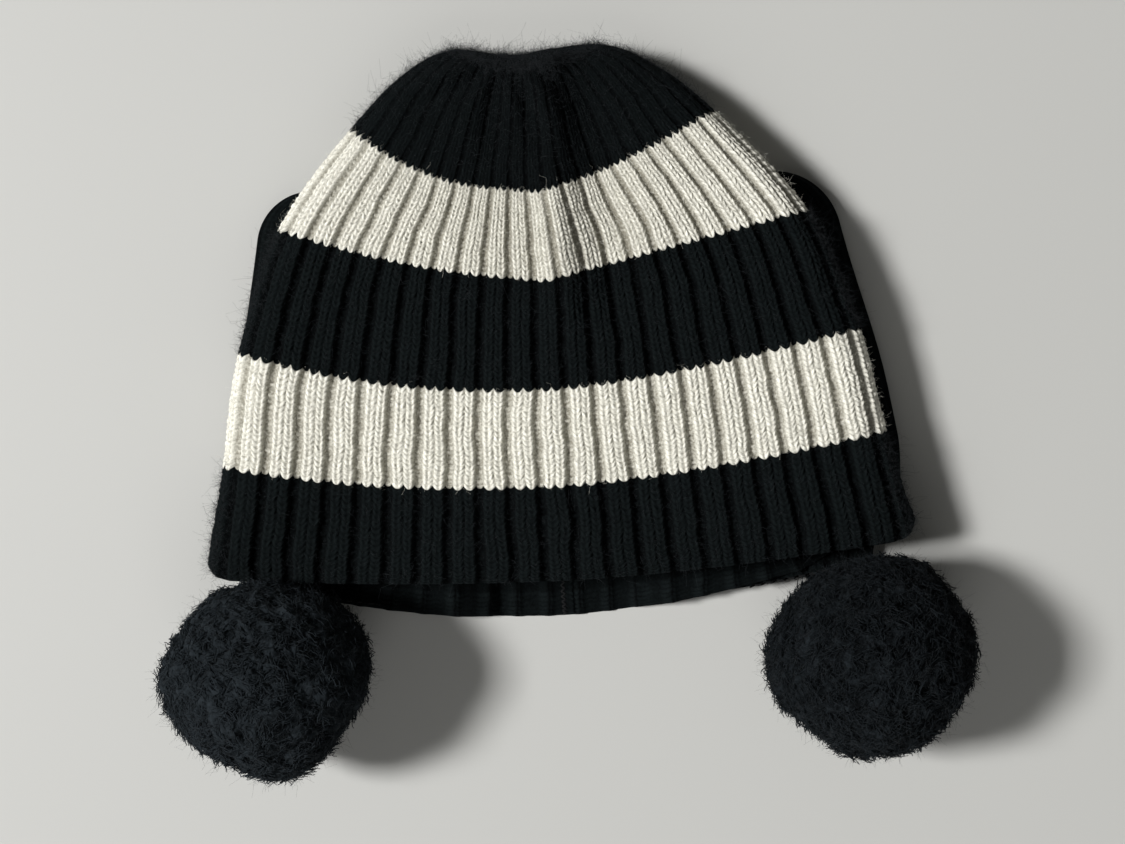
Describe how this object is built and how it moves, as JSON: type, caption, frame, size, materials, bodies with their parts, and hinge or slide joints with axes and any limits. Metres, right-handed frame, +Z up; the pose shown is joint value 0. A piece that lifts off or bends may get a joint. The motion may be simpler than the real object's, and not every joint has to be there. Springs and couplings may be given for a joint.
{
  "type": "pom pom beanie",
  "caption": "Striped rib-knit beanie lying flat, with a wool pompom hanging from a folded knitted strap on each side of the hem.",
  "frame": {"origin": "the middle of the footprint, on the surface that the hat lies on", "axes": "+Z up, out of the hat's front; +Y towards the crown; +X to the right as the front is seen"},
  "size_m": [0.2802, 0.2545, 0.0665],
  "materials": {
    "black_wool": "soft rib-knit wool yarn, matt, fuzzy",
    "white_wool": "soft off-white rib-knit wool yarn, matt, fuzzy",
    "pompom_yarn": "dense cut wool pile, matt",
    "black_thread": "plied sewing yarn, matt"
  },
  "bodies": {
    "hat": {"brim_black_stripe": "black_wool", "lower_white_stripe": "white_wool", "middle_black_stripe": "black_wool", "upper_white_stripe": "white_wool", "crown_black_stripe": "black_wool", "crown_gather_thread": "black_thread", "back_seam": "black_thread", "left_strap_stitching": "black_thread", "right_strap_stitching": "black_thread"},
    "left_strap_upper": {"left_strap_first_run": "black_wool"},
    "left_strap_lower": {"left_strap_second_run": "black_wool"},
    "left_neck": {"left_strap_gathered_end": "black_wool", "left_neck_tie": "black_thread"},
    "left_pompom": {"left_pompom_pile": "pompom_yarn", "left_pompom_centre_tie": "black_thread", "left_pompom_sewing_thread": "black_thread"},
    "right_strap_upper": {"right_strap_first_run": "black_wool"},
    "right_strap_lower": {"right_strap_second_run": "black_wool"},
    "right_neck": {"right_strap_gathered_end": "black_wool", "right_neck_tie": "black_thread"},
    "right_pompom": {"right_pompom_pile": "pompom_yarn", "right_pompom_centre_tie": "black_thread", "right_pompom_sewing_thread": "black_thread"}
  },
  "joints": [
    {"name": "left_strap_drop", "type": "hinge", "parent": "hat", "child": "left_strap_upper", "pos_m": [-0.092, -0.0645, 0.008], "axis": [-0.9874, 0.1582, 0], "range_deg": [0, 180]},
    {"name": "left_strap_unfold", "type": "hinge", "parent": "left_strap_upper", "child": "left_strap_lower", "pos_m": [-0.06891, 0.07966, 0.0038], "axis": [0.9874, -0.1582, 0], "range_deg": [0, 180]},
    {"name": "left_pompom_swing", "type": "hinge", "parent": "left_strap_lower", "child": "left_neck", "pos_m": [-0.09373, -0.05004, 0], "axis": [0.9874, -0.1582, 0], "range_deg": [0, 40]},
    {"name": "left_pompom_sway", "type": "hinge", "parent": "left_neck", "child": "left_pompom", "pos_m": [-0.09845, -0.07268, 0.0062], "axis": [0, 0, 1], "range_deg": [-20, 20]},
    {"name": "right_strap_drop", "type": "hinge", "parent": "hat", "child": "right_strap_upper", "pos_m": [0.092, -0.0645, 0.008], "axis": [-0.9874, -0.1582, 0], "range_deg": [0, 180]},
    {"name": "right_strap_unfold", "type": "hinge", "parent": "right_strap_upper", "child": "right_strap_lower", "pos_m": [0.06891, 0.07966, 0.0038], "axis": [0.9874, 0.1582, 0], "range_deg": [0, 180]},
    {"name": "right_pompom_swing", "type": "hinge", "parent": "right_strap_lower", "child": "right_neck", "pos_m": [0.09373, -0.05004, 0], "axis": [0.9874, 0.1582, 0], "range_deg": [0, 40]},
    {"name": "right_pompom_sway", "type": "hinge", "parent": "right_neck", "child": "right_pompom", "pos_m": [0.09845, -0.07268, 0.0062], "axis": [0, 0, 1], "range_deg": [-20, 20]}
  ],
  "couplings": [
    {"joint": "left_strap_unfold", "follows": "left_strap_drop", "ratio": 1},
    {"joint": "right_strap_unfold", "follows": "right_strap_drop", "ratio": 1}
  ]
}
